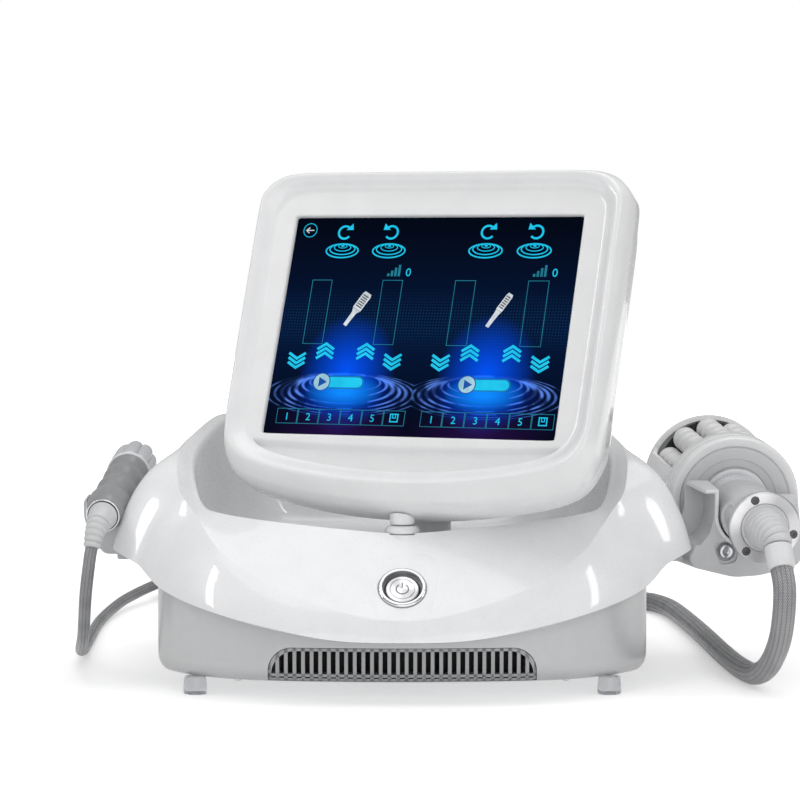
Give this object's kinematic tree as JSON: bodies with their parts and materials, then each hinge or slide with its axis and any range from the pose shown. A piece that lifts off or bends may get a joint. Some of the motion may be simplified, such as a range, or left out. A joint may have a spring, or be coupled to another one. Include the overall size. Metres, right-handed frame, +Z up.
{
  "type": "roller massage machine",
  "caption": "Desktop roller massage machine with a swivelling touch display on a bowl-topped base, and two hose-fed roller handpieces resting in side holders.",
  "frame": {"origin": "middle of the base plate's underside, in the plane midway between the chassis sides", "axes": "+Z up, -Y towards the person who faces the display, +X towards the body roller's side"},
  "size_m": [0.5201, 0.6292, 0.3483],
  "materials": {
    "gloss_white": "moulded gloss white",
    "silver_grey": "satin silver grey paint",
    "satin_silver": "satin silver grey plastic",
    "chrome": "polished plating",
    "brushed_steel": "brushed",
    "black_plastic": "matt black",
    "display_glass": "lit display under clear glass",
    "board_green": "board laminate",
    "grey_rubber": "soft grey grip",
    "pale_rubber": "pale grey moulded rubber",
    "white_silicone": "smooth white silicone",
    "grey_braid": "grey braided sleeve",
    "clear_rubber": "cloudy clear rubber",
    "holder_grey": "satin grey plastic",
    "tinned_steel": "plain sheet steel"
  },
  "bodies": {
    "base": {"base_chassis": "silver_grey", "base_plate": "tinned_steel", "front_grille": "satin_silver", "upper_cover": "gloss_white", "power_bezel": "chrome", "power_switch_body": "black_plastic", "foot_1": "clear_rubber", "foot_2": "clear_rubber", "foot_3": "clear_rubber", "foot_4": "clear_rubber", "rear_panel": "tinned_steel", "mains_inlet": "black_plastic", "fan_frame": "black_plastic", "body_hose_socket": "chrome", "face_hose_socket": "chrome", "power_supply": "tinned_steel", "control_board": "board_green", "pivot_flange": "gloss_white", "body_holder": "holder_grey", "face_holder": "holder_grey", "holder_bolt": "chrome", "body_hose_free": "grey_braid", "body_hose_coil": "grey_braid", "body_hose_tail": "grey_braid", "face_hose_free": "grey_braid", "face_hose_coil": "grey_braid", "face_hose_tail": "grey_braid"},
    "head": {"head_bezel": "gloss_white", "head_rear_shell": "gloss_white", "display_panel": "display_glass", "display_board": "board_green", "pivot_cap": "gloss_white"},
    "body_handpiece": {"handpiece_flange": "brushed_steel", "handle_tube": "satin_silver", "drum_collar": "gloss_white", "drum_shroud": "gloss_white", "roller_motor": "tinned_steel", "body_strain_relief": "pale_rubber", "body_hose_collar": "pale_rubber"},
    "roller_carrier": {"roller_carrier": "black_plastic"},
    "face_handpiece": {"face_chrome_ring": "chrome", "face_grip": "grey_rubber", "face_neck_ring": "gloss_white", "face_strain_relief": "pale_rubber"},
    "face_thumb_button": {"face_thumb_button": "black_plastic"},
    "face_roller": {"face_roller": "satin_silver"},
    "power_button": {"power_button": "brushed_steel"},
    "rocker_switch": {"rocker_switch": "black_plastic"},
    "fan_rotor": {"fan_rotor": "black_plastic"},
    "roller_row_1": {"roller_row_1": "white_silicone"},
    "roller_row_2": {"roller_row_2": "white_silicone"},
    "roller_row_3": {"roller_row_3": "white_silicone"},
    "roller_row_4": {"roller_row_4": "white_silicone"},
    "roller_row_5": {"roller_row_5": "white_silicone"},
    "roller_row_6": {"roller_row_6": "white_silicone"},
    "roller_row_7": {"roller_row_7": "white_silicone"},
    "roller_row_8": {"roller_row_8": "white_silicone"},
    "roller_row_9": {"roller_row_9": "white_silicone"},
    "roller_row_10": {"roller_row_10": "white_silicone"},
    "roller_row_11": {"roller_row_11": "white_silicone"}
  },
  "joints": [
    {"name": "head_swivel", "type": "hinge", "parent": "base", "child": "head", "pos_m": [0, -0.103, 0.0996], "axis": [0, 0, 1], "range_deg": [-2, 47.7]},
    {"name": "power_press", "type": "slide", "parent": "base", "child": "power_button", "axis": [0, 0.7139, -0.7002], "range_m": [0, 0.0015]},
    {"name": "rocker_tilt", "type": "hinge", "parent": "base", "child": "rocker_switch", "pos_m": [-0.104, 0.15275, 0.036], "axis": [1, 0, 0], "range_deg": [-11, 0]},
    {"name": "fan_spin", "type": "hinge", "parent": "base", "child": "fan_rotor", "pos_m": [0.08, 0.146, 0.036], "axis": [0, 1, 0], "continuous": true},
    {"name": "body_handpiece_lift", "type": "slide", "parent": "base", "child": "body_handpiece", "axis": [0, 0, 1], "range_m": [0, 0.06]},
    {"name": "carrier_spin", "type": "hinge", "parent": "body_handpiece", "child": "roller_carrier", "pos_m": [0.24064, -0.11051, 0.10388], "axis": [-0.089, 0.9917, 0.0924], "continuous": true},
    {"name": "face_handpiece_lift", "type": "slide", "parent": "base", "child": "face_handpiece", "axis": [0, 0, 1], "range_m": [0, 0.06]},
    {"name": "face_roller_spin", "type": "hinge", "parent": "face_handpiece", "child": "face_roller", "pos_m": [-0.2025, -0.073, 0.103], "axis": [0.0717, 0.9781, 0.1956], "continuous": true},
    {"name": "thumb_press", "type": "slide", "parent": "face_handpiece", "child": "face_thumb_button", "axis": [0.9973, -0.0731, 0], "range_m": [0, 0.0006]},
    {"name": "row_1_spin", "type": "hinge", "parent": "roller_carrier", "child": "roller_row_1", "pos_m": [0.23813, -0.11369, 0.13562], "axis": [-0.089, 0.9917, 0.0924], "continuous": true},
    {"name": "row_2_spin", "type": "hinge", "parent": "roller_carrier", "child": "roller_row_2", "pos_m": [0.25571, -0.11178, 0.13208], "axis": [-0.089, 0.9917, 0.0924], "continuous": true},
    {"name": "row_3_spin", "type": "hinge", "parent": "roller_carrier", "child": "roller_row_3", "pos_m": [0.2685, -0.10947, 0.11959], "axis": [-0.089, 0.9917, 0.0924], "continuous": true},
    {"name": "row_4_spin", "type": "hinge", "parent": "roller_carrier", "child": "roller_row_4", "pos_m": [0.27245, -0.10749, 0.10211], "axis": [-0.089, 0.9917, 0.0924], "continuous": true},
    {"name": "row_5_spin", "type": "hinge", "parent": "roller_carrier", "child": "roller_row_5", "pos_m": [0.26631, -0.10646, 0.08519], "axis": [-0.089, 0.9917, 0.0924], "continuous": true},
    {"name": "row_6_spin", "type": "hinge", "parent": "roller_carrier", "child": "roller_row_6", "pos_m": [0.25201, -0.10672, 0.0742], "axis": [-0.089, 0.9917, 0.0924], "continuous": true},
    {"name": "row_7_spin", "type": "hinge", "parent": "roller_carrier", "child": "roller_row_7", "pos_m": [0.23411, -0.10818, 0.07264], "axis": [-0.089, 0.9917, 0.0924], "continuous": true},
    {"name": "row_8_spin", "type": "hinge", "parent": "roller_carrier", "child": "roller_row_8", "pos_m": [0.21828, -0.11038, 0.08099], "axis": [-0.089, 0.9917, 0.0924], "continuous": true},
    {"name": "row_9_spin", "type": "hinge", "parent": "roller_carrier", "child": "roller_row_9", "pos_m": [0.20955, -0.11262, 0.09661], "axis": [-0.089, 0.9917, 0.0924], "continuous": true},
    {"name": "row_10_spin", "type": "hinge", "parent": "roller_carrier", "child": "roller_row_10", "pos_m": [0.2107, -0.11419, 0.11454], "axis": [-0.089, 0.9917, 0.0924], "continuous": true},
    {"name": "row_11_spin", "type": "hinge", "parent": "roller_carrier", "child": "roller_row_11", "pos_m": [0.22135, -0.11459, 0.12908], "axis": [-0.089, 0.9917, 0.0924], "continuous": true}
  ]
}
